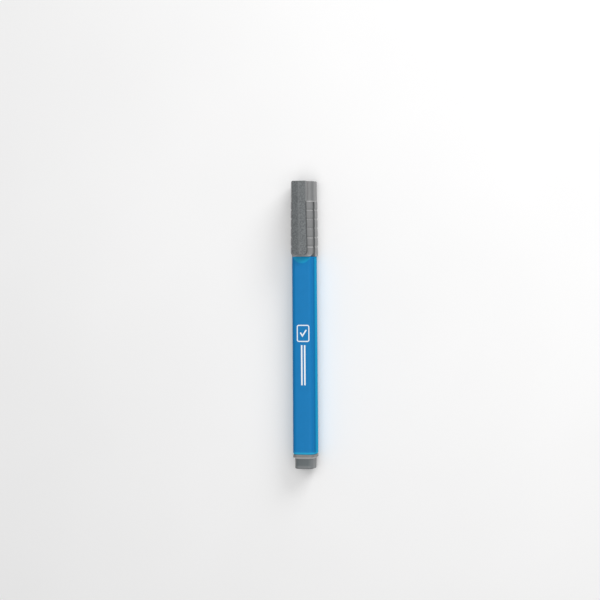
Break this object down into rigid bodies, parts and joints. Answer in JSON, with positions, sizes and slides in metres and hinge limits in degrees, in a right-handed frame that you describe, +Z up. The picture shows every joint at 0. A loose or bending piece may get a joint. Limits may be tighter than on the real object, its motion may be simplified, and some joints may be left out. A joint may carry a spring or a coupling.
{
  "type": "counterfeit detector pen",
  "caption": "Square felt-tip pen that marks banknotes to test their paper, with a grey pull-off cap, a wide pocket clip, a blue barrel and a grey end plug that holds the posted cap.",
  "frame": {"origin": "middle of the pen's length and width, on the surface that it lies on", "axes": "+Y along the pen towards the cap's closed top, +Z up through the clip, and X across the pen"},
  "size_m": [0.0118, 0.14, 0.0166],
  "materials": {
    "cap_grey": "satin moulded plastic",
    "liner_white": "soft natural plastic",
    "clip_grey": "fine eroded texture",
    "barrel_blue": "glossy moulded plastic",
    "holder_black": "satin moulded plastic",
    "nib_felt": "pressed felt soaked with amber ink",
    "reservoir_fibre": "bonded fibre",
    "sleeve_film": "clear film over fibre",
    "plug_grey": "satin moulded plastic"
  },
  "bodies": {
    "pen": {"barrel": "barrel_blue", "nib_holder": "holder_black", "nib": "nib_felt", "ink_reservoir": "reservoir_fibre", "reservoir_sleeve": "sleeve_film", "end_plug": "plug_grey"},
    "cap": {"cap_shell": "cap_grey", "cap_liner": "liner_white", "clip_base": "clip_grey"},
    "clip": {"clip_arm": "clip_grey"}
  },
  "joints": [
    {"name": "cap_slide", "type": "slide", "parent": "pen", "child": "cap", "axis": [0, 1, 0], "range_m": [0, 0.045]},
    {"name": "clip_flex", "type": "hinge", "parent": "cap", "child": "clip", "pos_m": [0, 0.0603, 0.01658], "axis": [-1, 0, 0], "range_deg": [0, 5], "stiffness_Nm_per_rad": 0.2}
  ]
}
